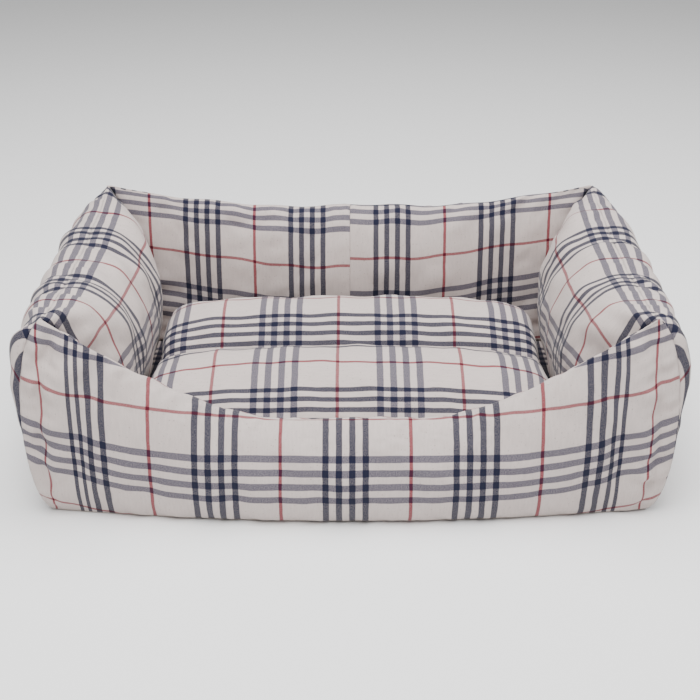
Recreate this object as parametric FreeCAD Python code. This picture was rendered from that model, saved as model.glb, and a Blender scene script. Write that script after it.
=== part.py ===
"""Pet cushion bed: four stuffed walls sewn round a padded base, with a loose two-puff cushion.

Millimetres. The origin is on the floor under the middle of the bed, the low entrance wall
faces -Y and +Z is up. Each wall is a row of upright sections that fan round the base from one
corner seam to the next. A section has an outer arc from the base seam up to the ridge seam
and an inner arc from the ridge seam down to the seat seam; its cloth and its filling are
insets of those two arcs. The cushion takes its size from the space the walls leave.
"""
import FreeCAD, Part
import math
import os

# cloth and clearances
cloth = 1.2
gap = 0.3

# base: the floor outline between its corner seams, and what lies on it
base_width = 690.0
base_depth = 454.0
pad_height = 19.0

# each wall's foot at a corner: base seam to seat seam, measured square to the wall
front_foot = 47.0
side_foot = 55.0
back_foot = 27.0

# how far the stuffed base seam bows out between the corners
front_bow = 26.0
side_bow = 6.0
back_bow = 14.0

# heights of the ridge seam
front_corner_height = 246.0
back_corner_height = 254.0
front_dip = 122.0
side_dip = 22.0
back_dip = 30.0

# swell of the stuffed cloth beyond the straight line between its seams
front_out_swell = 34.0
front_in_swell = 20.0
side_out_swell = 36.0
side_in_swell = 62.0
back_out_swell = 26.0
back_in_swell = 44.0
corner_out_swell = 16.0
corner_in_swell = 30.0

# where the ridge stands over the foot: 0 at the seat seam, 1 at the base seam
front_ridge_share = 0.52
side_ridge_share = 0.83
back_ridge_share = 0.54
corner_ridge_share = 0.89

# loose cushion
cushion_gap = 2.0
zip_room = 13.0
front_crest = 125.0
back_crest = 134.0
valley_height = 64.0
valley_place = 8.0
flank_height = 36.0
end_fall = 0.22
corner_round = 38.0

# cushion zip
zip_length = 360.0
zip_height = 20.0
tape_height = 12.0
tape_thick = 0.8
teeth_height = 1.7
teeth_depth = 2.4
teeth_slit = 1.0
stop_length = 3.0
slider_length = 11.0
slider_height = 8.0
plate_thick = 0.9
plate_gap = 0.35
post_thick = 0.6
post_length = 4.0
lug_thick = 1.0
lug_length = 3.0
pin_radius = 0.6
pin_rise = 2.6
pull_length = 20.0
pull_height = 4.4
pull_thick = 1.2
pull_play = 0.15
eye_radius = 1.5

STATIONS = (0.0, 0.25, 0.45, 0.62, 0.78, 0.90, 1.0)

foot_z = cloth + gap
pad_top = foot_z + pad_height
seat_z = pad_top + gap + cloth
half_width = base_width / 2
half_depth = base_depth / 2


class Wall:
    """One stuffed wall, from its start corner to its end corner, counter-clockwise from above."""

    def __init__(self, inner, outer, bow, heights, dip, flat, power, ridge_share, swells):
        self.inner = [FreeCAD.Vector(x, y, 0) for x, y in inner]
        self.outer = [FreeCAD.Vector(x, y, 0) for x, y in outer]
        self.bow = bow
        self.heights = heights
        self.dip = dip
        self.flat = flat
        self.power = power
        self.ridge_share = ridge_share
        self.out_swell, self.in_swell = swells
        self.along = (self.outer[1] - self.outer[0]).normalize()
        self.outward = FreeCAD.Vector(self.along.y, -self.along.x, 0)

    def ridge_height(self, place):
        rise = max(0.0, (abs(place) - self.flat) / (1 - self.flat)) ** self.power
        return blend(*self.heights, (1 + place) / 2) - self.dip * (1 - rise)

    def section(self, place):
        """The upright section at a place from -1, the start corner, to 1, the end corner."""
        inner = blend(*self.inner, (1 + place) / 2)
        outer = blend(*self.outer, (1 + place) / 2) + self.outward * self.bow * (1 - place ** 2)
        foot = (outer - inner).Length
        full = 1 - place ** 6
        ridge = (foot * blend(corner_ridge_share, self.ridge_share, full), self.ridge_height(place))
        out_swell = blend(corner_out_swell, self.out_swell, full)
        in_swell = blend(corner_in_swell, self.in_swell, full)
        return {
            "seat_seam": inner,
            "outward": (outer - inner) / foot,
            "outer_arc": swollen((foot, 0.0), ridge, out_swell),
            "inner_arc": swollen(ridge, (0.0, seat_z), in_swell),
        }


def blend(first, second, share):
    return first + (second - first) * share


def swollen(start, end, swell):
    """Centre and radius of the arc from start to end that stands out by swell to its right."""
    across, up = end[0] - start[0], end[1] - start[1]
    chord = math.hypot(across, up)
    radius = chord ** 2 / (8 * swell) + swell / 2
    back = (radius - swell) / chord
    centre = ((start[0] + end[0]) / 2 - up * back, (start[1] + end[1]) / 2 + across * back)
    return centre, radius


def crossing(arc, inset, height, side):
    """Where an inset arc crosses a height, on its outer side (1) or inner side (-1)."""
    (across, up), radius = arc
    return (across + side * math.sqrt((radius - inset) ** 2 - (height - up) ** 2), height)


def ridge_point(section, inset):
    """Where the two inset arcs meet under the ridge seam."""
    (first, r1), (second, r2) = section["outer_arc"], section["inner_arc"]
    r1, r2 = r1 - inset, r2 - inset
    across, up = second[0] - first[0], second[1] - first[1]
    apart = math.hypot(across, up)
    along = (r1 ** 2 - r2 ** 2 + apart ** 2) / (2 * apart)
    off = math.sqrt(r1 ** 2 - along ** 2) / apart
    along = along / apart
    one = (first[0] + across * along - up * off, first[1] + up * along + across * off)
    other = (first[0] + across * along + up * off, first[1] + up * along - across * off)
    return max(one, other, key=lambda point: point[1])


def arc_edge(section, arc, inset, start, end):
    """The inset arc from start to end, as an edge in the bed's frame."""
    centre, radius = arc
    across = start[0] + end[0] - 2 * centre[0]
    up = start[1] + end[1] - 2 * centre[1]
    scale = (radius - inset) / math.hypot(across, up)
    middle = (centre[0] + across * scale, centre[1] + up * scale)
    points = [placed(section, point) for point in (start, middle, end)]
    return Part.Arc(*points).toShape()


def line_edge(section, start, end):
    return Part.LineSegment(placed(section, start), placed(section, end)).toShape()


def placed(section, point):
    across, height = point
    return section["seat_seam"] + section["outward"] * across + FreeCAD.Vector(0, 0, height)


def panel_wire(section, arc_name, side, low_height):
    """One cloth panel's section: its arc, the ridge, the arc inset by the cloth, and back."""
    arc = section[arc_name]
    low, top = crossing(arc, 0, low_height, side), ridge_point(section, 0)
    low_back, top_back = crossing(arc, cloth, low_height, side), ridge_point(section, cloth)
    return Part.Wire([
        arc_edge(section, arc, 0, low, top),
        line_edge(section, top, top_back),
        arc_edge(section, arc, cloth, top_back, low_back),
        line_edge(section, low_back, low),
    ])


def outer_panel_wire(section):
    return panel_wire(section, "outer_arc", 1, foot_z)


def inner_panel_wire(section):
    return panel_wire(section, "inner_arc", -1, seat_z)


def filling_wire(section):
    inset = cloth + gap
    outer_low = crossing(section["outer_arc"], inset, foot_z, 1)
    top = ridge_point(section, inset)
    seat = crossing(section["inner_arc"], inset, seat_z, -1)
    inner_low = (seat[0], foot_z)
    return Part.Wire([
        arc_edge(section, section["outer_arc"], inset, outer_low, top),
        arc_edge(section, section["inner_arc"], inset, top, seat),
        line_edge(section, seat, inner_low),
        line_edge(section, inner_low, outer_low),
    ])


def run_of(wall, wire_of, start=-1, end=1):
    """A solid through the wall's sections between two places, short of each seam by the gap."""
    length = (wall.outer[1] - wall.outer[0]).Length
    spare = 2 * gap / length
    places = [-place for place in reversed(STATIONS[1:])] + list(STATIONS)
    places = [place for place in places if start <= place <= end]
    places[0] += spare
    places[-1] -= spare
    return Part.makeLoft([wire_of(wall.section(place)) for place in places], True, False)


def reach(wall, arc_name, side):
    """How far the middle of a wall swells, as a place along its outward direction."""
    section = wall.section(0.0)
    (across, _), radius = section[arc_name]
    return section["seat_seam"].dot(wall.outward) + across + side * radius


def make_walls():
    """The four walls, placed so that the front and the back swell equally far from the origin."""
    seat_x = half_width - side_foot
    front_y, back_y = -half_depth, half_depth
    seat_front, seat_back = front_y + front_foot, back_y - back_foot
    corners = [(-1, -1), (1, -1), (1, 1), (-1, 1)]
    outer = [(half_width * x, half_depth * y) for x, y in corners]
    inner = [(seat_x * x, seat_front if y < 0 else seat_back) for x, y in corners]
    low, high = front_corner_height, back_corner_height
    shapes = {
        "front": (front_bow, (low, low), front_dip, 0.25, 1.5, front_ridge_share,
                  (front_out_swell, front_in_swell)),
        "right": (side_bow, (low, high), side_dip, 0.0, 2.0, side_ridge_share,
                  (side_out_swell, side_in_swell)),
        "back": (back_bow, (high, high), back_dip, 0.0, 3.0, back_ridge_share,
                 (back_out_swell, back_in_swell)),
        "left": (side_bow, (high, low), side_dip, 0.0, 2.0, side_ridge_share,
                 (side_out_swell, side_in_swell)),
    }
    walls = {}
    for number, (name, shape) in enumerate(shapes.items()):
        follows = (number + 1) % len(corners)
        ends = [inner[number], inner[follows]], [outer[number], outer[follows]]
        walls[name] = Wall(*ends, *shape)
    shift = (reach(walls["front"], "outer_arc", 1) - reach(walls["back"], "outer_arc", 1)) / 2
    for wall in walls.values():
        wall.inner = [point + FreeCAD.Vector(0, shift, 0) for point in wall.inner]
        wall.outer = [point + FreeCAD.Vector(0, shift, 0) for point in wall.outer]
    return walls


def floor_outline(walls):
    """The base seam all round: one bowed curve per wall between the corner seams."""
    edges = []
    for wall in walls.values():
        middle = blend(*wall.outer, 0.5) + wall.outward * wall.bow
        edges.append(Part.Arc(wall.outer[0], middle, wall.outer[1]).toShape())
    return Part.Face(Part.Wire(edges))


def seat_box(walls, low, height):
    """A slab that fills the seat seam's rectangle, clear of the walls by the gap."""
    front, right, back = walls["front"], walls["right"], walls["back"]
    half = right.inner[0].x - gap
    near, far = front.inner[0].y + gap, back.inner[0].y - gap
    return Part.makeBox(2 * half, far - near, height, FreeCAD.Vector(-half, near, low))


def cushion_limits(walls):
    """Half width, front and back of the cushion, from the innermost swell of the walls."""
    half = reach(walls["right"], "inner_arc", -1) - cushion_gap
    front = -reach(walls["front"], "inner_arc", -1) + cushion_gap
    back = reach(walls["back"], "inner_arc", -1) - zip_room
    return half, front, back


def cushion_section(limits, x, inset):
    """The cushion cut across at x: a flat underside and two round puffs with a valley between."""
    half, front, back = limits
    bottom = seat_z + gap
    keep = 1 - end_fall * (x / half) ** 4
    low = bottom + inset
    flank = bottom + flank_height * keep
    valley = (valley_place, bottom + (valley_height - bottom) * keep - 2 * inset)
    back_top = ((back + valley_place) / 2, bottom + (back_crest - bottom) * keep - inset)
    front_top = ((front + valley_place) / 2, bottom + (front_crest - bottom) * keep - inset)
    outline = [(front, low), (back, low), (back, flank), back_top, valley, front_top, (front, flank)]
    a, b, c, d, e, f, g = [FreeCAD.Vector(x, y, z) for y, z in outline]
    return Part.Wire([
        Part.LineSegment(a, b).toShape(),
        Part.LineSegment(b, c).toShape(),
        Part.Arc(c, d, e).toShape(),
        Part.Arc(e, f, g).toShape(),
        Part.LineSegment(g, a).toShape(),
    ])


def cushion_solid(limits, inset):
    """The whole cushion, inset by the cloth or the cloth and its gap, with rounded corners."""
    half, front, back = limits
    shares = [-place for place in reversed(STATIONS[1:])] + list(STATIONS)
    puffs = Part.makeLoft([cushion_section(limits, half * share, inset) for share in shares], True, True)
    width, depth = 2 * (half - inset), back - front - 2 * inset
    outline = Part.makeBox(width, depth, 2 * back_crest, FreeCAD.Vector(inset - half, front + inset, 0))
    uprights = [edge for edge in outline.Edges if abs(edge.Vertexes[0].Z - edge.Vertexes[1].Z) > 1]
    return puffs.common(outline.makeFillet(corner_round - inset, uprights))


def zip_place(limits):
    """The middle of the zip, on the cushion's back flank."""
    return FreeCAD.Vector(0, limits[2], seat_z + gap + zip_height)


def zip_box(limits, length, height, low_y, high_y, x=0.0, z=0.0):
    """A box centred on the zip's line, with its depth counted from the flank along +Y."""
    corner = zip_place(limits) + FreeCAD.Vector(x - length / 2, low_y, z - height / 2)
    return Part.makeBox(length, high_y - low_y, height, corner)


def make_cushion(limits):
    """Cover panels with the zip's opening, and the two fillings with room behind the zip."""
    half, front, back = limits
    seam_z = zip_place(limits).z
    sewn = cushion_solid(limits, 0).cut(cushion_solid(limits, cloth))
    opening_height = 2 * tape_height + teeth_slit + 2 * teeth_height + 2 * gap
    sewn = sewn.cut(zip_box(limits, zip_length + 2 * gap, opening_height, -2 * cloth, 1.0))
    span, deep = 4 * half, 4 * back_crest
    above = Part.makeBox(span, span, deep, FreeCAD.Vector(-span / 2, -span / 2, seam_z + gap / 2))
    below = Part.makeBox(span, span, deep, FreeCAD.Vector(-span / 2, -span / 2, seam_z - gap / 2 - deep))
    stuffed = cushion_solid(limits, cloth + gap)
    behind = tape_thick + 2 * plate_thick + 4 * plate_gap + teeth_depth
    stuffed = stuffed.cut(zip_box(limits, zip_length, slider_height + 2, -behind, 1.0))
    ahead = Part.makeBox(span, span, deep, FreeCAD.Vector(-span / 2, valley_place + gap, 0))
    before = Part.makeBox(span, span, deep, FreeCAD.Vector(-span / 2, valley_place - gap - span, 0))
    return {
        "cushion_top_panel": sewn.common(above),
        "cushion_bottom_panel": sewn.common(below),
        "cushion_back_filling": stuffed.common(ahead),
        "cushion_front_filling": stuffed.common(before),
    }


def make_zip_chain(limits):
    """Two tapes, a row of teeth on each, and the stops at both ends."""
    row_z = (teeth_slit + teeth_height) / 2
    tape_z = teeth_slit / 2 + teeth_height + gap / 2 + tape_height / 2
    chain_length = zip_length - 2 * stop_length - 2 * gap
    pieces = {}
    for name, side in (("upper", 1), ("lower", -1)):
        pieces["zip_" + name + "_tape"] = zip_box(
            limits, zip_length, tape_height, -tape_thick, 0, z=side * tape_z)
        pieces["zip_" + name + "_teeth"] = zip_box(
            limits, chain_length, teeth_height, -tape_thick - teeth_depth / 2, teeth_depth / 2 - tape_thick,
            z=side * row_z)
    stop_height = teeth_slit + 2 * teeth_height
    stops = [zip_box(limits, stop_length, stop_height, -tape_thick - 1, 1,
                     x=side * (zip_length - stop_length) / 2) for side in (-1, 1)]
    pieces["zip_end_stops"] = Part.makeCompound(stops)
    return pieces


def slider_start(limits):
    """The slider's middle with the zip closed, at its +X end."""
    return zip_length / 2 - stop_length - slider_length / 2 - 1.0


def make_slider(limits):
    """Two plates joined by a post that runs between the rows, and two lugs that hold the pin."""
    x = slider_start(limits)
    face = teeth_depth / 2 - tape_thick + plate_gap
    rear = -tape_thick - teeth_depth / 2 - plate_gap
    front_plate = zip_box(limits, slider_length, slider_height, face, face + plate_thick, x=x)
    rear_plate = zip_box(limits, slider_length, slider_height, rear - plate_thick, rear, x=x)
    post = zip_box(limits, post_length, post_thick, rear - 0.1, face + 0.1, x=x)
    lug_z = (pull_height + lug_thick) / 2 + pull_play
    lug_top = face + plate_thick + pin_rise + pin_radius
    lugs = [zip_box(limits, lug_length, lug_thick, face + plate_thick - 0.1, lug_top, x=x, z=side * lug_z)
            for side in (-1, 1)]
    pin_length = 2 * lug_z + lug_thick
    pin_foot = zip_place(limits) + FreeCAD.Vector(x, face + plate_thick + pin_rise - 0.4, -pin_length / 2)
    pin = Part.makeCylinder(pin_radius, pin_length, pin_foot)
    return front_plate.multiFuse([rear_plate, post, *lugs, pin]).removeSplitter()


def pin_axis(limits):
    """A point on the pull's pin, level with the zip."""
    face = teeth_depth / 2 - tape_thick + plate_gap
    return zip_place(limits) + FreeCAD.Vector(slider_start(limits), face + plate_thick + pin_rise - 0.4, 0)


def make_pull(limits):
    """A flat tab that lies back over the closed teeth, with an eye round the slider's pin."""
    axis = pin_axis(limits)
    low = axis - FreeCAD.Vector(0, 0, pull_height / 2)
    eye = Part.makeCylinder(eye_radius, pull_height, low)
    corner = low - FreeCAD.Vector(pull_length, pull_thick / 2, 0)
    tab = Part.makeBox(pull_length, pull_thick, pull_height, corner)
    ends = [edge for edge in tab.Edges
            if abs(edge.Vertexes[0].Y - edge.Vertexes[1].Y) > 0.1 and edge.CenterOfMass.x < axis.x - 1]
    tab = tab.makeFillet(pull_height / 3, ends)
    hole = Part.makeCylinder(pin_radius + pull_play, pull_height + 2, low - FreeCAD.Vector(0, 0, 1))
    return tab.fuse(eye).cut(hole).removeSplitter()


def build():
    walls = make_walls()
    limits = cushion_limits(walls)
    pieces = {
        "base_panel": floor_outline(walls).extrude(FreeCAD.Vector(0, 0, cloth)),
        "base_pad": seat_box(walls, foot_z, pad_height),
        "floor_panel": seat_box(walls, pad_top + gap, cloth),
    }
    for name, wall in walls.items():
        pieces[name + "_wall_filling"] = run_of(wall, filling_wire)
        pieces["outer_" + name + "_panel"] = run_of(wall, outer_panel_wire)
    for name in ("front", "right", "left"):
        pieces["inner_" + name + "_panel"] = run_of(walls[name], inner_panel_wire)
    pieces["inner_back_panel_right"] = run_of(walls["back"], inner_panel_wire, end=0)
    pieces["inner_back_panel_left"] = run_of(walls["back"], inner_panel_wire, start=0)
    pieces.update(make_cushion(limits))
    pieces.update(make_zip_chain(limits))
    pieces["zip_slider"] = make_slider(limits)
    pieces["zip_pull"] = make_pull(limits)
    os.makedirs("parts", exist_ok=True)
    for name, shape in pieces.items():
        shape.exportStep("parts/" + name + ".step")
    return walls, limits, pieces


walls, limits, pieces = build()
print("cushion half width, front, back:", [round(value, 2) for value in limits])
print("pin axis:", [round(value, 3) for value in pin_axis(limits)])
print("slider travel:", round(2 * slider_start(limits), 2))
for name, shape in pieces.items():
    box = shape.BoundBox
    print(f"{name:26s} {shape.isValid()} {len(shape.Solids)} solid(s) {shape.Volume / 1000:10.2f} cm3"
          f"  x {box.XMin:7.1f} {box.XMax:7.1f}  y {box.YMin:7.1f} {box.YMax:7.1f}"
          f"  z {box.ZMin:6.1f} {box.ZMax:6.1f}")
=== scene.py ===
"""Pet cushion bed: four stuffed walls sewn round a padded base, and a loose zipped cushion.

Metres, in the frame's own axes: the low entrance wall faces -Y and +Z is up. Each cloth panel is
a grid of points between its seams, with the cloth's own coordinates as a UV map, so that the woven
check follows the cloth. Cloth simulation then swells each panel between its fixed seams.
"""
import math

import bpy
import numpy as np
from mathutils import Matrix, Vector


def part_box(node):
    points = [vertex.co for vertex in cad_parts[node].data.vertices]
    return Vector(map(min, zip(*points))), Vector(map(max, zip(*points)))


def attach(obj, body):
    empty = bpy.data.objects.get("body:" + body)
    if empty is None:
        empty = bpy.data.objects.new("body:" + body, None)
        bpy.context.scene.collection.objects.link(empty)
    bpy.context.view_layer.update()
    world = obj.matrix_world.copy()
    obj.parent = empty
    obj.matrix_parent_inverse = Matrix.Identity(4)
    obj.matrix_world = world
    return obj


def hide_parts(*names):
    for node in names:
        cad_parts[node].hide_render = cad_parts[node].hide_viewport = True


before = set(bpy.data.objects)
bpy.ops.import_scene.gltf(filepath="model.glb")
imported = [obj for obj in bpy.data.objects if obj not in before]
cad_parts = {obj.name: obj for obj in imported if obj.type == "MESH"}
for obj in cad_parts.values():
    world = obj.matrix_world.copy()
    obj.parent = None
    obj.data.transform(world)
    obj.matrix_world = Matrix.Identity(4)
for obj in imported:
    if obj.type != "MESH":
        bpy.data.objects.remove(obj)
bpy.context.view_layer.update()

MM = 0.001
seat_low, seat_high = (np.array(corner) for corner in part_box("base_pad"))
base_low, base_high = (np.array(corner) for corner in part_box("base_panel"))
floor_low, floor_high = (np.array(corner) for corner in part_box("floor_panel"))

# the woven check
DARK_REPEAT = 149 * MM
PALE_REPEAT = 154 * MM
DARK_PITCH = 15.2 * MM
PALE_PITCH = 16.4 * MM
DARK_WIDTH = 7.3 * MM
PALE_WIDTH = 8.3 * MM
RED_WIDTH = 4.2 * MM

CLOTH = 1.2 * MM
GAP = 0.3 * MM
HALF_WIDTH = 350 * MM
SEAT_Z = floor_high[2]
FOOT_Z = CLOTH + GAP
CORNER_FRONT_HEIGHT = 246 * MM
CORNER_BACK_HEIGHT = 254 * MM
FRONT_BOW, SIDE_BOW, BACK_BOW = 26 * MM, 6 * MM, 14 * MM


# ---------------------------------------------------------------- cloth grids

def blend(first, second, share):
    return first + (second - first) * share


def bezier(controls, share):
    """Points on the cubic curve whose four controls are arrays, at shares from 0 to 1."""
    a, b, c, d = controls
    rest = 1 - share
    return a * rest ** 3 + 3 * b * rest ** 2 * share + 3 * c * rest * share ** 2 + d * share ** 3


def evenly(curve, rows):
    """A curve's points respaced evenly along its length, and that length."""
    steps = np.linalg.norm(np.diff(curve, axis=0), axis=1)
    travelled = np.concatenate([[0.0], np.cumsum(steps)])
    wanted = np.linspace(0, travelled[-1], rows + 1)
    return np.stack([np.interp(wanted, travelled, axis) for axis in curve.T], axis=1), travelled[-1]


class Wall:
    """One stuffed wall between two corner seams, walked counter-clockwise as seen from above."""

    def __init__(self, inner, outer, bow, heights, dip, flat, power, ridge_share, swell, ripple,
                 pinch, ends):
        """Corners as (x, y) at the inner and outer foot; heights at both ends; how far the ridge dips
        between them, over how flat a middle and how sharply; the ridge's place across the wall; the
        swell of each face; waves of the ridge; and how sharply each end closes."""
        self.inner = np.array(inner)
        self.outer = np.array(outer)
        self.bow, self.heights, self.dip = bow, heights, dip
        self.flat, self.power, self.ridge_share = flat, power, ridge_share
        self.swell, self.ripple, self.pinch, self.ends = swell, ripple, pinch, ends
        along = self.outer[1] - self.outer[0]
        self.length = np.linalg.norm(along)
        self.outward = np.array([along[1], -along[0]]) / self.length

    def ridge_height(self, place):
        rise = max(0.0, (abs(place) - self.flat) / (1 - self.flat)) ** self.power
        wave = sum(size * math.sin(turns * place + shift) for size, turns, shift in self.ripple)
        return blend(*self.heights, (1 + place) / 2) - self.dip * (1 - rise) + wave * (1 - place ** 8)

    def column(self, place, side, rows):
        """One upright row of cloth points from the lower seam to the ridge seam, and its length."""
        inner = blend(self.inner[0], self.inner[1], (1 + place) / 2)
        outer = blend(self.outer[0], self.outer[1], (1 + place) / 2)
        outer = outer + self.outward * self.bow * (1 - place ** 2)
        foot = np.linalg.norm(outer - inner)
        sharp, soft = self.pinch[0] if place < 0 else self.pinch[1]
        full = (1 - abs(place) ** sharp) ** soft
        height = self.ridge_height(place)
        ridge = foot * blend(CORNER_RIDGE_SHARE, self.ridge_share, full)
        low_out, low_share, high_out, high_share = blend(
            np.array(CORNER_SWELL[self.ends[place > 0]][side]), np.array(self.swell[side]), full)
        if side == "outer":
            low = (foot, FOOT_Z)
            controls = [low, (foot + low_out, height * low_share),
                        (ridge + high_out, height * high_share), (ridge, height)]
        else:
            low = (0.0, SEAT_Z)
            controls = [low, (-low_out, height * low_share),
                        (ridge - high_out, height * high_share), (ridge, height)]
        shares = np.linspace(0, 1, 120)[:, None]
        curve, length = evenly(bezier([np.array(point) for point in controls], shares), rows)
        plan = inner + np.outer(curve[:, 0], (outer - inner) / foot)
        return np.column_stack([plan, curve[:, 1]]), length

    def face(self, side, columns, rows, start=-1.0, end=1.0):
        """A grid of points, row by row from the lower seam, and each column's length."""
        made = [self.column(place, side, rows) for place in np.linspace(start, end, columns + 1)]
        return np.stack([points for points, _ in made], axis=1), np.array([length for _, length in made])


CORNER_RIDGE_SHARE = 0.89
CORNER_SWELL = {
    "front": {"outer": (36 * MM, 0.10, 48 * MM, 0.88), "inner": (14 * MM, 0.50, 22 * MM, 0.92)},
    "back": {"outer": (20 * MM, 0.20, 24 * MM, 0.85), "inner": (14 * MM, 0.50, 22 * MM, 0.92)},
}
# each: how far the lower and the upper control stand out, and their height as a share of the ridge
FRONT_SWELL = {
    "outer": (34 * MM, 0.14, 48 * MM, 0.97),
    "inner": (8 * MM, 0.50, 30 * MM, 0.96),
}
SIDE_SWELL = {
    "outer": (26 * MM, 0.28, 92 * MM, 1.08),
    "inner": (66 * MM, 0.50, 80 * MM, 1.04),
}
BACK_SWELL = {
    "outer": (32 * MM, 0.22, 54 * MM, 0.96),
    "inner": (54 * MM, 0.50, 42 * MM, 1.00),
}


def make_walls():
    front_y, back_y = base_low[1] + FRONT_BOW, base_high[1] - BACK_BOW
    seat_x, seat_front, seat_back = seat_high[0] + GAP, seat_low[1] - GAP, seat_high[1] + GAP
    corners = [(-1, -1), (1, -1), (1, 1), (-1, 1)]
    outer = [(HALF_WIDTH * x, front_y if y < 0 else back_y) for x, y in corners]
    inner = [(seat_x * x, seat_front if y < 0 else seat_back) for x, y in corners]
    low, high = CORNER_FRONT_HEIGHT, CORNER_BACK_HEIGHT
    shapes = {
        "front": (FRONT_BOW, (low, low), 129 * MM, 0.25, 1.75, 0.52, FRONT_SWELL,
                  [(0.8 * MM, 9, 0.4)], ((3, 1.0), (3, 1.0)), ("front", "front")),
        "right": (SIDE_BOW, (low, high), 22 * MM, 0.0, 2.0, 0.83, SIDE_SWELL,
                  [(1.0 * MM, 11, 1.0)], ((18, 0.5), (5, 0.8)), ("front", "back")),
        "back": (BACK_BOW, (high, high), 30 * MM, 0.0, 3.0, 0.54, BACK_SWELL,
                 [(1.6 * MM, 9, 2.2), (1.2 * MM, 23, 0.3)], ((5, 0.6), (5, 0.6)), ("back", "back")),
        "left": (SIDE_BOW, (high, low), 22 * MM, 0.0, 2.0, 0.83, SIDE_SWELL,
                 [(1.0 * MM, 12, 0.2)], ((5, 0.8), (18, 0.5)), ("back", "front")),
    }
    walls = {}
    for number, (name, shape) in enumerate(shapes.items()):
        follows = (number + 1) % len(corners)
        walls[name] = Wall([inner[number], inner[follows]], [outer[number], outer[follows]], *shape)
    return walls


def normals_of(points):
    """Unit normals of a grid of points, whichever way it is wound."""
    down, across = np.gradient(points, axis=(0, 1))
    normal = np.cross(across, down)
    return normal / np.maximum(np.linalg.norm(normal, axis=2, keepdims=True), 1e-9)


def travelled_along(points, axis):
    """How far each grid point is along its own row or column, from that line's first point."""
    steps = np.linalg.norm(np.diff(points, axis=axis), axis=2)
    start = np.zeros_like(np.take(steps, [0], axis=axis))
    return np.concatenate([start, np.cumsum(steps, axis=axis)], axis=axis)


CORNER_TUCK = 57 / 60
TUCK_DEPTH = 6 * MM
TUCK_WIDTH = 4.5 * MM
RUFFLES = 13
RUFFLE_SIZE = 2.8 * MM
RUFFLE_WIDTH = 13 * MM
BOLSTER_FOLD = 9 * MM
BOLSTER_FULL = 6 * MM


def folded_ends(points, rows, columns):
    """The front wall's cloth drawn in beside each side bolster, full over the bolster's end, and
    gathered into a sewn tuck near each corner."""
    place = np.abs(np.linspace(-1, 1, columns + 1))[None, :]
    up = np.linspace(0, 1, rows + 1)[:, None]
    line = 0.845 - 0.035 * up
    fold = -BOLSTER_FOLD * np.exp(-((place - line) / 0.035) ** 2) * (0.35 + 0.65 * up)
    full = BOLSTER_FULL * np.exp(-((place - line - 0.09) / 0.045) ** 2)
    shift = (fold + full) * np.sin(np.clip(up * 1.04, 0, 1) * math.pi) ** 0.45
    beside = (place - CORNER_TUCK) * HALF_WIDTH
    turn = 2 * math.pi * up * RUFFLES
    ruffle = np.sin(turn + 1.5 * np.sin(turn / 3.7)) + 0.6 * np.sin(0.57 * turn + 1.0)
    tuck = -TUCK_DEPTH * np.exp(-(beside / TUCK_WIDTH) ** 2)
    near = np.exp(-(beside / RUFFLE_WIDTH) ** 2) * np.tanh((beside / (5 * MM)) ** 2)
    tuck = tuck + RUFFLE_SIZE * ruffle * near
    shift = shift + tuck * np.clip(10 * up, 0, 1) * np.clip(10 * (1 - up), 0, 1)
    points = points.copy()
    points[..., 1] -= shift
    return points


PUCKER_LENGTHS = (17 * MM, 24 * MM, 33 * MM, 52 * MM)
PUCKER_REACH = 0.36
LUMP_LENGTHS = (95 * MM, 130 * MM, 70 * MM)
LUMP_FADE = 45 * MM
SEAM_FADE = 5 * MM
WALL_SEAMS = (0.8, 1.3, 1.2, 1.2)


def gathered(points, seed, seams, size):
    """Puckers along the sewn edges (lower, upper, first and last), and soft lumps of filling."""
    chance = np.random.default_rng(seed + 11)
    normal = normals_of(points)
    up, along = travelled_along(points, 0), travelled_along(points, 1)
    height, width = up[-1:, :], along[:, -1:]
    lift = np.zeros(up.shape)
    ways = ((up, along), (height - up, along), (along, up), (width - along, up))
    for (away, place), much in zip(ways, seams):
        for length in PUCKER_LENGTHS:
            turn = chance.uniform(0, 2 * math.pi)
            reach = PUCKER_REACH * length
            wobble = 1 + 0.5 * np.sin(place / (2.3 * length) + turn * 2)
            wave = np.sin(2 * math.pi * place / length + turn + 0.8 * np.sin(place / (1.7 * length)))
            near = away / reach * np.exp(1 - away / reach)
            tall = 0.42 * size * (length / (33 * MM)) ** 0.6
            lift += much * tall * wave * wobble * near
    edge_fade = np.minimum(np.minimum(up, height - up), np.minimum(along, width - along))
    for length in LUMP_LENGTHS:
        turn = chance.uniform(0, 2 * math.pi, 3)
        slope = chance.uniform(-0.8, 0.8)
        swell = np.sin(2 * math.pi * (along + slope * up) / length + turn[0])
        swell = swell * np.sin(2 * math.pi * (up - slope * along) / (1.2 * length) + turn[1])
        lift += 0.9 * size * swell * np.clip(edge_fade / LUMP_FADE, 0, 1)
    lift *= np.clip(edge_fade / SEAM_FADE, 0, 1)
    return points + normal * lift[..., None]


def grid_faces(rows, columns, flip):
    """Quads of a grid of (rows + 1) by (columns + 1) points, numbered row by row."""
    wide = columns + 1
    quads = []
    for row in range(rows):
        for column in range(columns):
            corner = row * wide + column
            quad = (corner, corner + 1, corner + wide + 1, corner + wide)
            quads.append(quad[::-1] if flip else quad)
    return quads


def new_piece(name, points, faces, cloth=None):
    """A mesh object at the origin; cloth gives each point's place on the flat cloth, as its UV map."""
    mesh = bpy.data.meshes.new(name)
    mesh.from_pydata([tuple(point) for point in points], [], faces)
    if cloth is not None:
        layer = mesh.uv_layers.new(name="cloth")
        index = np.empty(len(mesh.loops), dtype=int)
        mesh.loops.foreach_get("vertex_index", index)
        layer.data.foreach_set("uv", np.asarray(cloth, dtype=float)[index].ravel())
    piece = bpy.data.objects.new(name, mesh)
    bpy.context.collection.objects.link(piece)
    for polygon in mesh.polygons:
        polygon.use_smooth = True
    return piece


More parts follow.
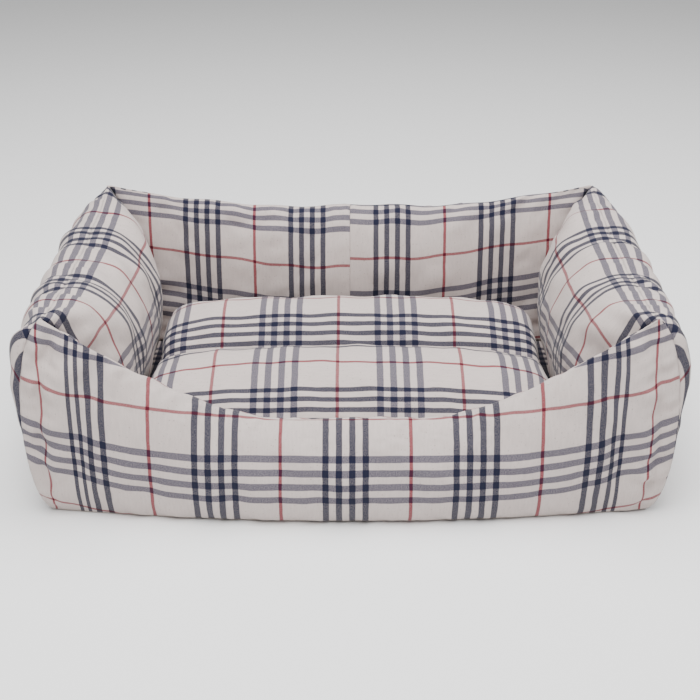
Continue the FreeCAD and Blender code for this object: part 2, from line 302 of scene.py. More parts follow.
def apply_all(piece):
    bpy.ops.object.select_all(action="DESELECT")
    bpy.context.view_layer.objects.active = piece
    piece.select_set(True)
    for modifier in list(piece.modifiers):
        bpy.ops.object.modifier_apply(modifier=modifier.name)


def coordinates(piece):
    flat = np.empty(len(piece.data.vertices) * 3)
    piece.data.vertices.foreach_get("co", flat)
    return flat.reshape(-1, 3)


# ---------------------------------------------------------------- camera, light and floor

CAMERA_PLACE = (0, -1.5098, 0.8247)
CAMERA_DOWN = math.radians(25.507)
LENS = 65.94
LIGHTS = [
    # name, place, size in metres, power in watts
    ("key_softbox", (-0.35, -1.25, 2.5), 1.8, 98),
    ("fill_softbox", (1.3, -0.3, 2.0), 1.5, 20),
    ("top_softbox", (0.0, 0.4, 2.3), 1.8, 52),
]
LIGHTS_AIM = (0, 0, 0.1)
WORLD_LIGHT = 0.34
BACKDROP_LIGHT = 0.4
FLOOR_SIZE = 14


def make_stage():
    """Camera, three softboxes, a pale world that looks brighter to the camera, and a floor."""
    bpy.ops.object.select_all(action="DESELECT")
    camera_data = bpy.data.cameras.new("camera")
    camera_data.sensor_width = 36
    camera_data.lens = LENS
    camera_data.clip_end = 50
    camera = bpy.data.objects.new("camera", camera_data)
    camera.location = CAMERA_PLACE
    camera.rotation_euler = (math.radians(90) - CAMERA_DOWN, 0, 0)
    bpy.context.collection.objects.link(camera)
    bpy.context.scene.camera = camera
    for name, place, size, power in LIGHTS:
        data = bpy.data.lights.new(name, "AREA")
        data.size = size
        data.energy = power
        light = bpy.data.objects.new(name, data)
        light.location = place
        aim = np.array(LIGHTS_AIM) - np.array(place)
        flat = math.hypot(aim[0], aim[1])
        light.rotation_euler = (math.atan2(flat, -aim[2]), 0, math.atan2(-aim[0], aim[1]))
        bpy.context.collection.objects.link(light)
    world = bpy.data.worlds.new("studio")
    world.use_nodes = True
    background = world.node_tree.nodes["Background"]
    background.inputs["Color"].default_value = (1, 1, 1, 1)
    ray = world.node_tree.nodes.new("ShaderNodeLightPath")
    glow = world.node_tree.nodes.new("ShaderNodeMath")
    glow.operation = "MULTIPLY_ADD"
    glow.inputs[1].default_value = BACKDROP_LIGHT
    glow.inputs[2].default_value = WORLD_LIGHT
    world.node_tree.links.new(ray.outputs["Is Camera Ray"], glow.inputs[0])
    world.node_tree.links.new(glow.outputs[0], background.inputs["Strength"])
    bpy.context.scene.world = world
    bpy.ops.mesh.primitive_plane_add(size=FLOOR_SIZE, location=(0, 0, 0))
    floor = bpy.context.active_object
    floor.name = "studio_floor"
    floor.data.materials.append(floor_paint())


# ---------------------------------------------------------------- materials

def linear(hex_colour):
    """An sRGB hex colour as linear red, green, blue and alpha."""
    parts = [int(hex_colour[place:place + 2], 16) / 255 for place in (1, 3, 5)]
    return tuple(part / 12.92 if part <= 0.04045 else ((part + 0.055) / 1.055) ** 2.4
                 for part in parts) + (1.0,)


def add_node(material, kind, links=(), **settings):
    """A node of a kind, with its settings, and its inputs either linked or set by number or name."""
    tree = material.node_tree
    node = tree.nodes.new(kind)
    for name, value in settings.items():
        setattr(node, name, value)
    for socket, value in dict(links).items():
        if isinstance(value, bpy.types.NodeSocket):
            tree.links.new(value, node.inputs[socket])
        else:
            node.inputs[socket].default_value = value
    return node


def new_material(name, colour, roughness, **values):
    """A material with one principled shader; values are set on the shader's own sockets."""
    material = bpy.data.materials.new(name)
    material.use_nodes = True
    material.diffuse_color = linear(colour)
    shader = material.node_tree.nodes["Principled BSDF"]
    shader.inputs["Base Color"].default_value = linear(colour)
    shader.inputs["Roughness"].default_value = roughness
    for socket, value in values.items():
        shader.inputs[socket.replace("_", " ")].default_value = value
    return material, shader


def floor_paint():
    """Matt white studio paper, so that only the contact shadow shows."""
    return new_material("matt_white_paper", "#F4F4F4", 0.9)[0]


def maths(material, operation, first, second=0.5, third=0.5):
    node = add_node(material, "ShaderNodeMath", {0: first, 1: second, 2: third}, operation=operation)
    return node.outputs[0]


def mixed(material, share, first, second):
    node = add_node(material, "ShaderNodeMix", {0: share, 6: first, 7: second}, data_type="RGBA")
    return node.outputs[2]


def added(material, first, second):
    """A sum held between 0 and 1."""
    node = add_node(material, "ShaderNodeMath", {0: first, 1: second}, operation="ADD", use_clamp=True)
    return node.outputs[0]


def noise(material, place, scale, detail):
    return add_node(material, "ShaderNodeTexNoise", {"Vector": place, "Scale": scale, "Detail": detail})


def object_place(material):
    return add_node(material, "ShaderNodeTexCoord").outputs["Object"]


def tinted(material, shader, share, dark, light):
    """The shader's colour as a mix of two, by a share from 0 to 1."""
    tint = mixed(material, share, linear(dark), linear(light))
    material.node_tree.links.new(tint, shader.inputs["Base Color"])


def bumped(material, shader, height, strength, distance):
    bump = add_node(material, "ShaderNodeBump",
                    {"Height": height, "Strength": strength, "Distance": distance})
    material.node_tree.links.new(bump.outputs[0], shader.inputs["Normal"])


def threads(material, place, length):
    """A wave of a given length in metres, for threads that lie side by side."""
    return maths(material, "SINE", maths(material, "MULTIPLY", place, 2 * math.pi / length))


def edge(material, value, limit, soft):
    """1 where a value is under a limit and 0 over it, with a soft step between."""
    over = maths(material, "SUBTRACT", limit, value)
    return added(material, maths(material, "DIVIDE", over, soft), 0.5)


def stripes(material, place, repeat, pitch, width, soft):
    """Masks of one direction's lines: the set of four stripes, and the single line between sets."""
    turns = maths(material, "DIVIDE", place, repeat)
    part = maths(material, "FRACT", maths(material, "ADD", turns, 0.5))
    off = maths(material, "MULTIPLY", maths(material, "SUBTRACT", part, 0.5), repeat)
    off = maths(material, "ABSOLUTE", off)
    wave = maths(material, "PINGPONG", off, pitch)
    to_stripe = maths(material, "ABSOLUTE", maths(material, "SUBTRACT", wave, pitch / 2))
    near = edge(material, off, 2 * pitch, soft)
    four = maths(material, "MULTIPLY", edge(material, to_stripe, width / 2, soft), near)
    to_red = maths(material, "SUBTRACT", repeat / 2, off)
    return four, edge(material, to_red, RED_WIDTH / 2, soft)


def woven_check():
    """Yarn-dyed cotton twill: an off-white ground with navy stripes in fours and a single red line
    between the sets. Dyed warp over white weft is dark, dyed weft under white warp is pale, and only
    where both are dyed does the full colour show. The yarn is drawn at about 1 mm, coarser than the
    real half millimetre, so that its speckle still shows."""
    material, shader = new_material(
        "yarn_dyed_cotton_twill", "#D8D0CD", 0.92, Sheen_Weight=0.12, Sheen_Roughness=0.5,
        Specular_IOR_Level=0.18)
    place = add_node(material, "ShaderNodeUVMap", uv_map="cloth").outputs[0]
    wobble = noise(material, place, 60.0, 2.0)
    wander = add_node(material, "ShaderNodeVectorMath", {0: wobble.outputs["Color"], 1: (0.5, 0.5, 0.5)},
                      operation="SUBTRACT").outputs[0]
    small = add_node(material, "ShaderNodeVectorMath", {0: wander, "Scale": 1.2 * MM},
                     operation="SCALE").outputs[0]
    moved = add_node(material, "ShaderNodeVectorMath", {0: place, 1: small}, operation="ADD").outputs[0]
    split = add_node(material, "ShaderNodeSeparateXYZ", {0: moved})
    soft = 0.7 * MM
    dark, dark_red = stripes(material, split.outputs[0], DARK_REPEAT, DARK_PITCH, DARK_WIDTH, soft)
    pale, pale_red = stripes(material, split.outputs[1], PALE_REPEAT, PALE_PITCH, PALE_WIDTH, soft)

    # yarns: fine streaks along the warp and along the weft
    along_warp = add_node(material, "ShaderNodeMapping", {"Vector": place, "Scale": (1300, 700, 1)})
    along_weft = add_node(material, "ShaderNodeMapping", {"Vector": place, "Scale": (700, 1300, 1)})
    warp_yarn = noise(material, along_warp.outputs[0], 1.0, 2.0).outputs[0]
    weft_yarn = noise(material, along_weft.outputs[0], 1.0, 2.0).outputs[0]
    warp_part = maths(material, "MULTIPLY_ADD", warp_yarn, 0.56, -0.28)
    weft_part = maths(material, "MULTIPLY_ADD", weft_yarn, 0.7, -0.35)

    # ground: unbleached white with slubs and a few dark flecks
    slub = add_node(material, "ShaderNodeMapping", {"Vector": place, "Scale": (420, 60, 1)})
    slubs = noise(material, slub.outputs[0], 1.0, 3.0).outputs[0]
    ground = mixed(material, slubs, linear("#B5A9A5"), linear("#C9BDB8"))
    flecks = edge(material, noise(material, place, 420.0, 0.0).outputs[0], 0.235, 0.02)
    ground = mixed(material, maths(material, "MULTIPLY", flecks, 0.35), ground, linear("#6E5A50"))

    navy, pale_navy, red = linear("#1A1E33"), linear("#1D2140"), linear("#781226")
    warp_colour = mixed(material, dark_red, navy, red)
    weft_colour = mixed(material, pale_red, pale_navy, red)
    warp_mask = maths(material, "MAXIMUM", dark, dark_red)
    weft_mask = maths(material, "MAXIMUM", pale, pale_red)
    warp_base = maths(material, "MULTIPLY_ADD", dark_red, -0.04, 0.90)
    weft_base = maths(material, "MULTIPLY_ADD", pale_red, 0.02, 0.77)
    warp_dyed = mixed(material, added(material, warp_part, warp_base), ground, warp_colour)
    weft_dyed = mixed(material, added(material, weft_part, weft_base), ground, weft_colour)
    both = mixed(material, 0.55, mixed(material, 0.5, warp_colour, weft_colour), linear("#131220"))
    plain = mixed(material, warp_mask, ground, warp_dyed)
    crossed = mixed(material, warp_mask, weft_dyed, both)
    colour = mixed(material, weft_mask, plain, crossed)
    material.node_tree.links.new(colour, shader.inputs["Base Color"])

    bumped(material, shader, maths(material, "ADD", warp_yarn, weft_yarn), 0.35, 0.4 * MM)
    return material


# ---------------------------------------------------------------- stuffing

PRESSURE = 1.2
STEPS = 20
SWELL_LIMIT = 12 * MM
BROAD_SWELL_KEPT = 0.35
SOFTEN_ROUNDS = 60


def edge_hold(rows, columns):
    """How firmly each point of a grid is held: sewn edges fully, the rest not at all."""
    hold = np.zeros((rows + 1, columns + 1))
    hold[[0, -1], :] = 1.0
    hold[:, [0, -1]] = 1.0
    return hold


EASE = 1.045


def soften(field):
    """A grid of vectors averaged with its neighbours again and again, its border left alone."""
    smooth = field.copy()
    for _ in range(SOFTEN_ROUNDS):
        inner = (smooth[:-2, 1:-1] + smooth[2:, 1:-1] + smooth[1:-1, :-2] + smooth[1:-1, 2:]) / 4
        smooth[1:-1, 1:-1] = blend(smooth[1:-1, 1:-1], inner, 0.8)
    return smooth


def stuff(pieces):
    """Swells cloth pieces between their sewn edges. Each is (piece, flat cloth, hold): the flat cloth
    is what it was cut to, so spare length gathers into puckers along the seams. The broad part of
    the swelling is mostly taken back, since the panels' own shapes have it already."""
    scene = bpy.context.scene
    before = {}
    for piece, flat, hold in pieces:
        before[piece.name] = coordinates(piece)
        piece.shape_key_add(name="sewn")
        cut = piece.shape_key_add(name="cut")
        flat_points = np.column_stack([flat.reshape(-1, 2) * EASE, np.zeros(flat[..., 0].size)])
        cut.data.foreach_set("co", flat_points.ravel())
        held = piece.vertex_groups.new(name="held")
        for index, weight in enumerate(hold.ravel()):
            held.add([index], float(weight), "REPLACE")
        cloth = piece.modifiers.new("stuffing", "CLOTH")
        settings = cloth.settings
        settings.quality = 6
        settings.mass = 0.001
        settings.vertex_group_mass = "held"
        settings.pin_stiffness = 1.0
        settings.tension_stiffness = 2.5
        settings.compression_stiffness = 2.5
        settings.shear_stiffness = 1
        settings.bending_stiffness = 0.001
        settings.tension_damping = 0.15
        settings.compression_damping = 0.15
        settings.bending_damping = 0.1
        settings.air_damping = 1
        settings.use_pressure = True
        settings.uniform_pressure_force = PRESSURE
        settings.rest_shape_key = cut
        settings.effector_weights.gravity = 0
        cloth.collision_settings.use_collision = False
        cloth.point_cache.frame_start = 1
        cloth.point_cache.frame_end = STEPS
    for step in range(1, STEPS + 1):
        scene.frame_set(step)
    graph = bpy.context.evaluated_depsgraph_get()
    for piece, flat, _ in pieces:
        swollen = piece.evaluated_get(graph)
        points = np.empty(len(swollen.data.vertices) * 3)
        swollen.data.vertices.foreach_get("co", points)
        points = points.reshape(-1, 3)
        moved = points - before[piece.name]
        size = np.linalg.norm(moved, axis=1, keepdims=True)
        grid = moved.reshape(flat.shape[0], flat.shape[1], 3)
        moved = (grid - soften(grid) * (1 - BROAD_SWELL_KEPT)).reshape(-1, 3)
        limited = SWELL_LIMIT * np.tanh(size / SWELL_LIMIT) / np.maximum(size, 1e-9)
        points = before[piece.name] + moved * limited
        piece.modifiers.clear()
        piece.shape_key_clear()
        piece.vertex_groups.clear()
        piece.data.vertices.foreach_set("co", points.ravel())
        piece.data.update()
    scene.frame_set(1)


# ---------------------------------------------------------------- walls

END_EASE = 0.62
END_EASE_FROM = 300 * MM
RISE_FROM = 170 * MM
RISE_OVER = 205 * MM
RISE = 34 * MM


def corner_rise(along):
    """How much the front panel's check climbs towards the two corners, where the cloth was cut askew."""
    share = (np.abs(along) - RISE_FROM) / RISE_OVER
    return RISE * np.clip(share, 0, 2) ** 1.5


def wall_cloth(walls, check):
    """The sewn panels of the four walls: name -> (piece, column lengths, flat cloth, hold). A phase
    turns distances along the wall and from its lower and upper seams into places on the check."""
    panels = {}

    def panel(name, wall_name, side, columns, rows, phase, start=-1.0, end=1.0, seams=WALL_SEAMS):
        wall = walls[wall_name]
        points, lengths = wall.face(side, columns, rows, start, end)
        heading = (wall.outer[1] - wall.outer[0]) / wall.length
        straight = (points[..., :2] - wall.outer.mean(axis=0)) @ heading
        centre = int(np.argmin(np.abs(straight[0])))
        along = travelled_along(points * (1, 1, 0), 1)
        along = along - along[:, centre:centre + 1] + straight[:, centre:centre + 1]
        if name == "outer_front_cloth":
            points = folded_ends(points, rows, columns)
            spare = np.maximum(0, np.abs(along) - END_EASE_FROM)
            along = along + np.sign(along) * spare * END_EASE
        size = (2.0 if wall_name in ("left", "right") else 1.6) * MM
        points = gathered(points, len(panels), seams, size)
        rise = np.linspace(0, 1, rows + 1)[:, None] * lengths[None, :]
        flat = np.stack(phase(along, rise, lengths[None, :] - rise), axis=-1)
        piece = new_piece(name, points.reshape(-1, 3), grid_faces(rows, columns, side == "inner"),
                          flat.reshape(-1, 2))
        piece.data.materials.append(check)
        hold = edge_hold(rows, columns)
        if name == "outer_front_cloth":
            tucked = round((1 - CORNER_TUCK) * columns / 2)
            hold[:, [tucked, -1 - tucked]] = 1.0
        panels[name] = (piece, lengths, flat, hold)

    panel("outer_front_cloth", "front", "outer", 160, 48,
          lambda along, low, top: (along + 5 * MM, low + 9 * MM + PALE_REPEAT / 2 - corner_rise(along)),
          seams=(0.8, 1.5, 2.2, 2.2))
    panel("inner_front_cloth", "front", "inner", 120, 26,
          lambda along, low, top: (along + 5 * MM, top - 11 * MM + PALE_REPEAT / 2))
    for side, shift, ends in (("right", -78 * MM, (0.5, 1.2)), ("left", 74 * MM, (1.2, 0.5))):
        panel("outer_%s_cloth" % side, side, "outer", 84, 48,
              lambda along, low, top, shift=shift: (along + shift, top), seams=(0.5, 1.3) + ends)
        panel("inner_%s_cloth" % side, side, "inner", 84, 48,
              lambda along, low, top, shift=shift: (along + shift, top))
    panel("outer_back_cloth", "back", "outer", 120, 40, lambda along, low, top: (along, top))
    panel("inner_back_cloth_right", "back", "inner", 60, 40,
          lambda along, low, top: (-along - 59.5 * MM, top - 8 * MM),
          end=0.0, seams=(0.8, 1.3, 1.2, 0.25))
    panel("inner_back_cloth_left", "back", "inner", 60, 40,
          lambda along, low, top: (-along + 61 * MM, top - 19 * MM),
          start=0.0, seams=(0.8, 1.3, 0.25, 1.2))
    return panels


# ---------------------------------------------------------------- cushion

CUSHION_HALF = 255 * MM
SEAM_Z = 42 * MM
VALLEY = (8 * MM, 58 * MM)
FRONT_PUFF = [(-166 * MM, SEAM_Z), (-180 * MM, 130 * MM), (22 * MM, 176 * MM), VALLEY]
ZIP_FACE = 158.7 * MM
BACK_PUFF = [VALLEY, (10 * MM, 150 * MM), (172 * MM, 168 * MM), (ZIP_FACE, SEAM_Z + 16 * MM)]
PUFF_ROWS = 40
CREST = 88 * MM
PUFF_SEAMS = (0.7, 0.9, 0.7, 0.7), (0.9, 0.7, 0.7, 0.7)
PUFF_PUCKER = 1.1 * MM
FRONT_EASE, BACK_EASE = 1.10, 1.06
CUSHION_CHECK_SHIFT = (-75 * MM, -61.5 * MM)


def cushion_cloth(check):
    """The cushion's top cloth, with its sewn valley."""
    shares = np.linspace(0, 1, 200)[:, None]
    front, front_length = evenly(bezier([np.array(point) for point in FRONT_PUFF], shares), PUFF_ROWS)
    crown = bezier([np.array(point) for point in BACK_PUFF], shares)
    zip_side = np.column_stack([np.full(12, ZIP_FACE), np.linspace(SEAM_Z + 15 * MM, SEAM_Z, 12)])
    back, back_length = evenly(np.concatenate([crown, zip_side]), PUFF_ROWS)
    profile = np.concatenate([front, back[1:]])
    travelled = np.concatenate([np.linspace(-front_length, 0, PUFF_ROWS + 1),
                                np.linspace(0, back_length, PUFF_ROWS + 1)[1:]])
    across = 1 - (1 - np.linspace(0, 1, 200)) ** 3
    keep = (1 - 0.08 * across ** 2 - 0.2 * across ** 7) * (1 - across ** 46) ** (1 / 3)
    half, half_length = evenly(np.column_stack([across * CUSHION_HALF, keep * CREST]), 56)
    x = np.concatenate([-half[:0:-1, 0], half[:, 0]])
    keep = np.concatenate([half[:0:-1, 1], half[:, 1]]) / CREST
    columns = len(x) - 1
    reach = np.abs(x) / CUSHION_HALF
    rows = len(profile) - 1
    middle = (profile[0, 0] + profile[-1, 0]) / 2
    points = np.empty((rows + 1, columns + 1, 3))
    points[..., 0] = x[None, :]
    points[..., 1] = middle + (profile[:, 0] - middle)[:, None] * (1 - 0.03 * reach[None, :] ** 24)
    droop = np.where(profile[:, 0] < VALLEY[0], 0.06, 0.01)[:, None] * reach[None, :] ** 2
    points[..., 2] = SEAM_Z + (profile[:, 1] - SEAM_Z)[:, None] * keep[None, :] * (1 - droop)
    fabric = np.linspace(-half_length, half_length, columns + 1)
    front_half, back_half = slice(0, PUFF_ROWS + 1), slice(PUFF_ROWS, None)
    points[front_half] = gathered(points[front_half], 31, PUFF_SEAMS[0], PUFF_PUCKER)
    points[back_half] = gathered(points[back_half], 32, PUFF_SEAMS[1], PUFF_PUCKER)
    eased = travelled * np.where(travelled > 0, BACK_EASE, FRONT_EASE) + CUSHION_CHECK_SHIFT[0]
    cloth = np.stack([np.broadcast_to(eased[:, None], points.shape[:2]),
                      np.broadcast_to(fabric[None, :] + CUSHION_CHECK_SHIFT[1], points.shape[:2])],
                     axis=-1)
    top = new_piece("cushion_top_cloth", points.reshape(-1, 3), grid_faces(rows, columns, False),
                    cloth.reshape(-1, 2))
    top.data.materials.append(check)
    hold = edge_hold(rows, columns)
    hold[PUFF_ROWS, :] = 1.0
    return top, points, cloth, hold


def cushion_underside(check, top_points):
    """The cushion's bottom cloth: flat where it rests, turned up at its edge to meet the seam."""
    y_low, y_high = top_points[0, :, 1].max(), ZIP_FACE
    floor_z, turn = SEAT_Z + 0.4 * MM, 7 * MM
    half_width = top_points[:, -1, 0].max()
    rise = np.array([0, 0.25, 0.5])
    bend = np.linspace(0, math.pi / 2, 5)
    front = [(y_low, blend(SEAM_Z, floor_z + turn, share)) for share in rise]
    front += [(y_low + turn * (1 - math.cos(angle)), floor_z + turn * (1 - math.sin(angle)))
              for angle in bend]
    flat = [(place, floor_z) for place in np.linspace(y_low + turn, y_high - turn, 34)[1:-1]]
    back = [(y_high - (place - y_low), height) for place, height in reversed(front)]
    profile = np.array(front + flat + back)
    profile[:, 1] = np.maximum(profile[:, 1], floor_z)
    side = [(half_width * share, 1.0) for share in np.linspace(0, 0.97, 40)[:-1]]
    side += [(half_width - turn * (1 - math.sin(angle)), math.cos(angle) ** 0.7) for angle in bend]
    side = np.array(side)
    x = np.concatenate([-side[:0:-1, 0], side[:, 0]])
    keep = np.concatenate([side[:0:-1, 1], side[:, 1]])
    points = np.empty((len(profile), len(x), 3))
    points[..., 0] = x[None, :]
    points[..., 1] = profile[:, 0][:, None]
    points[..., 2] = SEAM_Z - (SEAM_Z - profile[:, 1])[:, None] * keep[None, :]
    cloth = np.stack([travelled_along(points, 0), travelled_along(points, 1)], axis=-1)
    bottom = new_piece("cushion_bottom_cloth", points.reshape(-1, 3),
                       grid_faces(len(profile) - 1, len(x) - 1, True), cloth.reshape(-1, 2))
    bottom.data.materials.append(check)
    return bottom, (float(cloth[..., 0].max()), float(cloth[..., 1].max()))


# ---------------------------------------------------------------- filling, base and floor

def fleece_filling():
    """Hollow-fibre polyester stuffing: soft white, very rough, and lumpy at about 12 mm."""
    material, shader = new_material("hollow_fibre_polyester", "#EFEDE8", 0.97, Sheen_Weight=0.3)
    lumps = noise(material, object_place(material), 85.0, 4.0).outputs[0]
    tinted(material, shader, lumps, "#E2DFD8", "#F7F5F1")
    bumped(material, shader, lumps, 0.6, 3 * MM)
    return material


def plain_canvas(name, dark, light, thread):
    """Plain-weave canvas: two sets of threads passing over and under, drawn at about 1.5 mm, coarser
    than the real 0.6 mm, so that the weave shows."""
    material, shader = new_material(name, light, 0.9, Sheen_Weight=0.1, Specular_IOR_Level=0.25)
    place = object_place(material)
    split = add_node(material, "ShaderNodeSeparateXYZ", {0: place})
    warp = threads(material, split.outputs[0], thread)
    weft = threads(material, split.outputs[1], thread)
    weave = maths(material, "MULTIPLY_ADD", maths(material, "MULTIPLY", warp, weft), 0.5, 0.5)
    slub = noise(material, place, 240.0, 3.0).outputs[0]
    share = maths(material, "MULTIPLY_ADD", slub, 0.6, maths(material, "MULTIPLY", weave, 0.4))
    tinted(material, shader, share, dark, light)
    bumped(material, shader, weave, 0.5, 0.3 * MM)
    return material


def closed_rings(name, rings):
    """A closed body through rings of points, with a flat cap at each end."""
    count, around = len(rings), len(rings[0])
    faces = []
    for ring in range(count - 1):
        for place in range(around):
            after = (place + 1) % around
            faces.append((ring * around + place, ring * around + after,
                          (ring + 1) * around + after, (ring + 1) * around + place))
    faces.append(tuple(range(around))[::-1])
    faces.append(tuple((count - 1) * around + place for place in range(around)))
    body = new_piece(name, np.concatenate(rings), faces)
    bpy.ops.object.select_all(action="DESELECT")
    bpy.context.view_layer.objects.active = body
    body.select_set(True)
    bpy.ops.object.mode_set(mode="EDIT")
    bpy.ops.mesh.select_all(action="SELECT")
    bpy.ops.mesh.normals_make_consistent(inside=False)
    bpy.ops.object.mode_set(mode="OBJECT")
    return body


def drawn_in(ring, distance):
    """A ring of points moved towards its own middle by a distance."""
    toward = ring.mean(axis=0) - ring
    reach = np.linalg.norm(toward, axis=1, keepdims=True)
    return ring + toward / reach * np.minimum(distance, reach * 0.6)


WALL_INSET = 22 * MM
PUFF_INSET = 15 * MM
PUFF_END = 24 * MM
PUFF_FLOOR = 30 * MM


def wall_filling(walls, name):
    """One wall's stuffing, inside its cloth."""
    wall = walls[name]
    rings = []
    for place in np.linspace(-0.95, 0.95, 40):
        outer, _ = wall.column(place, "outer", 14)
        inner, _ = wall.column(place, "inner", 14)
        rings.append(drawn_in(np.concatenate([outer, inner[-2::-1]]), WALL_INSET))
    return closed_rings(name + "_wall_stuffing", rings)


def puff_filling(name, grid):
    """One puff's stuffing, a little inside its cloth."""
    rings = []
    inside = np.flatnonzero(np.abs(grid[0, :, 0]) < CUSHION_HALF - PUFF_END)
    for column in inside[::3]:
        line = grid[::2, column]
        foot = line[[-1, 0]].copy()
        foot[:, 2] = PUFF_FLOOR
        rings.append(drawn_in(np.concatenate([line, foot]), PUFF_INSET))
    return closed_rings(name, rings)


def base_cloth(walls, canvas):
    """The plain underside cloth, out to the walls' lower seams."""
    front, back = walls["front"], walls["back"]
    columns, rows = 72, 48
    grid = np.empty((rows + 1, columns + 1, 3))
    for column, place in enumerate(np.linspace(-1, 1, columns + 1)):
        near, _ = front.column(place, "outer", 4)
        far, _ = back.column(-place, "outer", 4)
        for row, share in enumerate(np.linspace(0, 1, rows + 1)):
            point = blend(near[0], far[0], share)
            point[0] += math.copysign(SIDE_BOW, place) * abs(place) * (1 - (2 * share - 1) ** 2)
            grid[row, column] = point
    chance = np.random.default_rng(5)
    grid[..., 2] = 0.6 * MM + 0.5 * MM * (1 + np.sin(grid[..., 0] * 90 + 1)
                                          * np.sin(grid[..., 1] * 74 + chance.uniform(0, 6))) * 0.5
    piece = new_piece("base_underside_cloth", grid.reshape(-1, 3), grid_faces(rows, columns, True))
    piece.data.materials.append(canvas)
    return piece, (float(np.ptp(grid[..., 0])), float(np.ptp(grid[..., 1])))


def floor_cloth(check):
    """The floor cloth between the walls' inner seams, lightly crowned over the base pad."""
    x = np.linspace(floor_low[0] - GAP, floor_high[0] + GAP, 81)
    y = np.linspace(floor_low[1] - GAP, floor_high[1] + GAP, 55)
    across, along = np.meshgrid(x, y)
    u, v = np.meshgrid(np.linspace(-1, 1, 81), np.linspace(-1, 1, 55))
    grid = np.stack([across, along, np.full(across.shape, SEAT_Z - 0.3 * MM)], axis=-1)
    grid[..., 2] -= 0.8 * MM * (1 - (1 - u ** 8) * (1 - v ** 8))
    cloth = np.stack([across, along], axis=-1)
    piece = new_piece("floor_cloth", grid.reshape(-1, 3), grid_faces(54, 80, False),
                      cloth.reshape(-1, 2))
    piece.data.materials.append(check)
    return piece, (float(np.ptp(x)), float(np.ptp(y)))


def block(name, low, high, round_edge, segments):
    """A box between two corners, its edges rounded, made at its place."""
    bpy.ops.object.select_all(action="DESELECT")
    low, high = np.array(low), np.array(high)
    bpy.ops.mesh.primitive_cube_add(size=1, location=tuple((low + high) / 2))
    piece = bpy.context.active_object
    piece.name = name
    piece.dimensions = tuple(high - low)
    bpy.ops.object.transform_apply(location=True, rotation=True, scale=True)
    edges = piece.modifiers.new("rounded", "BEVEL")
    edges.width = round_edge
    edges.segments = segments
    apply_all(piece)
    for polygon in piece.data.polygons:
        polygon.use_smooth = True
    return piece


def base_pad_filling():
    """The quilted wadding pad in the base, with soft edges."""
    inset = np.array([2 * MM, 2 * MM, 0.8 * MM])
    return block("base_pad_wadding", seat_low + inset, seat_high - inset, 7 * MM, 4)


# ---------------------------------------------------------------- zip

def zip_tape_cloth():
    """Woven polyester zip tape: fine ribs along its length, drawn at 1.5 mm so that they show."""
    material, shader = new_material("woven_polyester_tape", "#CFC8C2", 0.85, Sheen_Weight=0.15)
    split = add_node(material, "ShaderNodeSeparateXYZ", {0: object_place(material)})
    rib = threads(material, split.outputs[2], 1.5 * MM)
    chevron = maths(material, "PINGPONG", split.outputs[2], 3 * MM)
    slant = maths(material, "ADD", split.outputs[0], chevron)
    twill = threads(material, slant, 1.5 * MM)
    both = maths(material, "MULTIPLY_ADD", maths(material, "ADD", rib, twill), 0.25, 0.5)
    tinted(material, shader, both, "#8E857E", "#B4ABA3")
    bumped(material, shader, both, 0.5, 0.3 * MM)
    return material


def moulded_nylon():
    """Extruded nylon coil: off-white, satin, with faint drawing marks."""
    material, shader = new_material("extruded_nylon_coil", "#DAD5CE", 0.38, IOR=1.53)
    marks = noise(material, object_place(material), 900.0, 2.0).outputs[0]
    tinted(material, shader, marks, "#CCC6BE", "#E5E1DB")
    return material


def cast_zinc():
    """Die-cast zinc with a nickel finish: bright grey metal, softly brushed by tumbling."""
    material, shader = new_material("nickel_plated_die_cast_zinc", "#B9B8B4", 0.3, Metallic=1.0)
    tumble = noise(material, object_place(material), 700.0, 3.0).outputs[0]
    rough = maths(material, "MULTIPLY_ADD", tumble, 0.2, 0.2)
    material.node_tree.links.new(rough, shader.inputs["Roughness"])
    tinted(material, shader, tumble, "#A6A5A1", "#C6C5C1")
    bumped(material, shader, tumble, 0.15, 0.1 * MM)
    return material


def sewing_thread():
    """Three-ply spun polyester thread: off-white, its twist drawn at 1.2 mm."""
    material, shader = new_material("spun_polyester_thread", "#D6CFC9", 0.75, Sheen_Weight=0.2)
    split = add_node(material, "ShaderNodeSeparateXYZ", {0: object_place(material)})
    slant = maths(material, "ADD", split.outputs[0], split.outputs[2])
    twist = threads(material, slant, 1.2 * MM)
    tinted(material, shader, maths(material, "MULTIPLY_ADD", twist, 0.5, 0.5), "#BFB7B0", "#E2DCD6")
    return material


def row_of(name, low, high, pitch, count, round_edge):
    """One small rounded block repeated along +X."""
    piece = block(name, low, high, round_edge, 1)
    repeat = piece.modifiers.new("repeat", "ARRAY")
    repeat.count = count
    repeat.use_relative_offset = False
    repeat.use_constant_offset = True
    repeat.constant_offset_displace = (pitch, 0, 0)
    apply_all(piece)
    return piece


TOOTH_PITCH = 1.8 * MM
TOOTH_LENGTH = 1.1 * MM
TAPE_THICKNESS = 0.6 * MM
TAPE_STITCH_PITCH = 3 * MM
TAPE_STITCHES = 119
QUILT_STITCH_PITCH = 4 * MM
QUILT_STITCHES = 118


